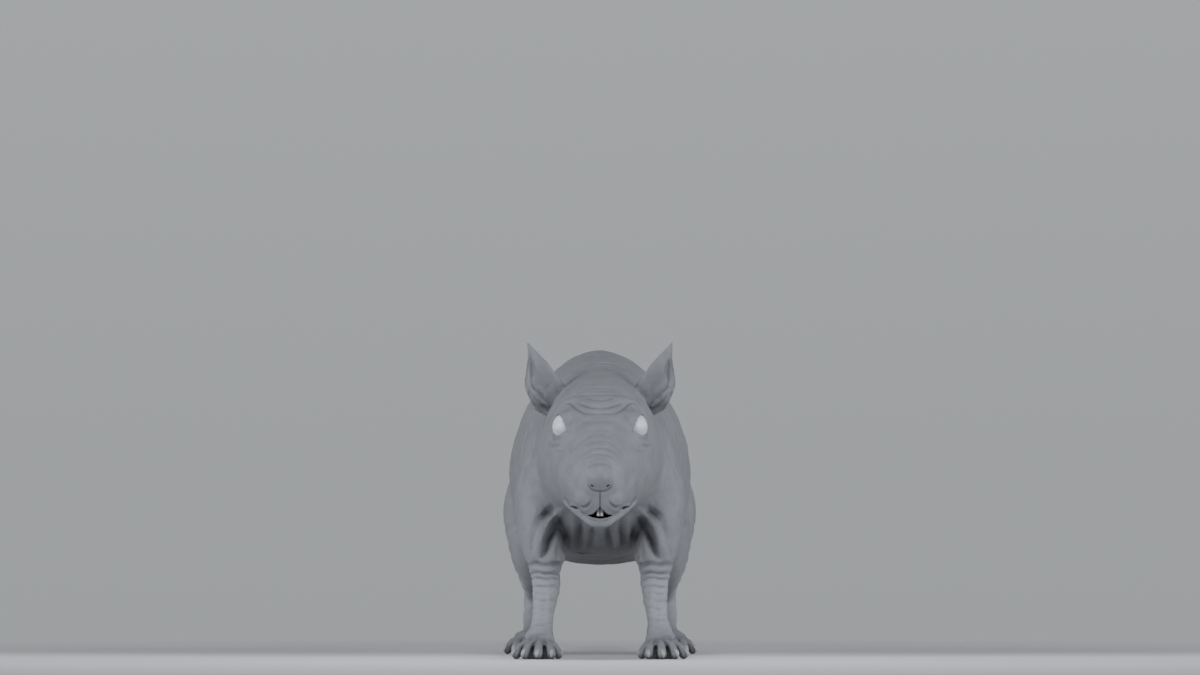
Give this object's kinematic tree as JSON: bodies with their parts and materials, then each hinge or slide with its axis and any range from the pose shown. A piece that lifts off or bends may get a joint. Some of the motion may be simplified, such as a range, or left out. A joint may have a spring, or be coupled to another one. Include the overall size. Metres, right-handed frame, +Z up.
{
  "type": "hairless house mouse",
  "caption": "Life-size hairless house mouse standing on straight legs, with wrinkled grey skin, pointed ears, pale eyes and a long tail.",
  "frame": {"origin": "on the floor, under the middle of the bounding box", "axes": "+Z up from the floor; -Y is the way the mouse looks, its tail points along +Y; +X is the mouse's left"},
  "size_m": [0.0278, 0.1488, 0.0424],
  "materials": {
    "skin": "matte wrinkled bare skin",
    "eye": "pale clouded eye, slightly glossy"
  },
  "bodies": {
    "root": {"head": "skin", "neck": "skin", "chest": "skin", "abdomen": "skin", "rump": "skin", "tail_base": "skin", "tail_middle": "skin", "tail_tip": "skin", "ear_left": "skin", "ear_right": "skin", "eye_left": "eye", "eye_right": "eye", "upper_arm_left": "skin", "upper_arm_right": "skin", "foreleg_left": "skin", "foreleg_right": "skin", "forepaw_left": "skin", "forepaw_right": "skin", "thigh_left": "skin", "thigh_right": "skin", "shank_left": "skin", "shank_right": "skin", "hind_foot_left": "skin", "hind_foot_right": "skin"}
  },
  "joints": []
}
